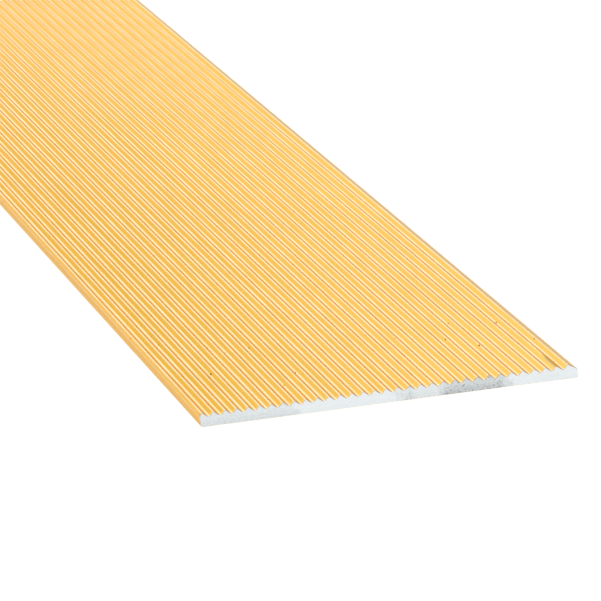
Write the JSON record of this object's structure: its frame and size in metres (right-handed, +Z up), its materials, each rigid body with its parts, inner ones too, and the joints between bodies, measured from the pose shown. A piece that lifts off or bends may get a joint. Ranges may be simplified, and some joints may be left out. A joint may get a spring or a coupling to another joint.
{
  "type": "threshold strip",
  "caption": "Flat ribbed aluminium threshold strip, gold anodised with bare sawn ends, undrilled, bonded by thin adhesive tapes under peel-off liners.",
  "frame": {"origin": "centre of the footprint, on the plane that the release liners rest on", "axes": "+X across the strip from its rounded edge to its bevelled edge, +Y along its length from the near sawn end to the far one, +Z up out of the ribs"},
  "size_m": [0.08, 0.9, 0.0032],
  "materials": {
    "gold_anodised_aluminium": "satin gold anodised, bare metal on the sawn ends",
    "adhesive_tape": "translucent off-white acrylic",
    "release_liner": "smooth silicone-coated kraft paper"
  },
  "bodies": {
    "root": {"ribbed_profile": "gold_anodised_aluminium", "adhesive_tape_left": "adhesive_tape", "adhesive_tape_centre": "adhesive_tape", "adhesive_tape_right": "adhesive_tape", "release_liner_left": "release_liner", "release_liner_centre": "release_liner", "release_liner_right": "release_liner"}
  },
  "joints": []
}
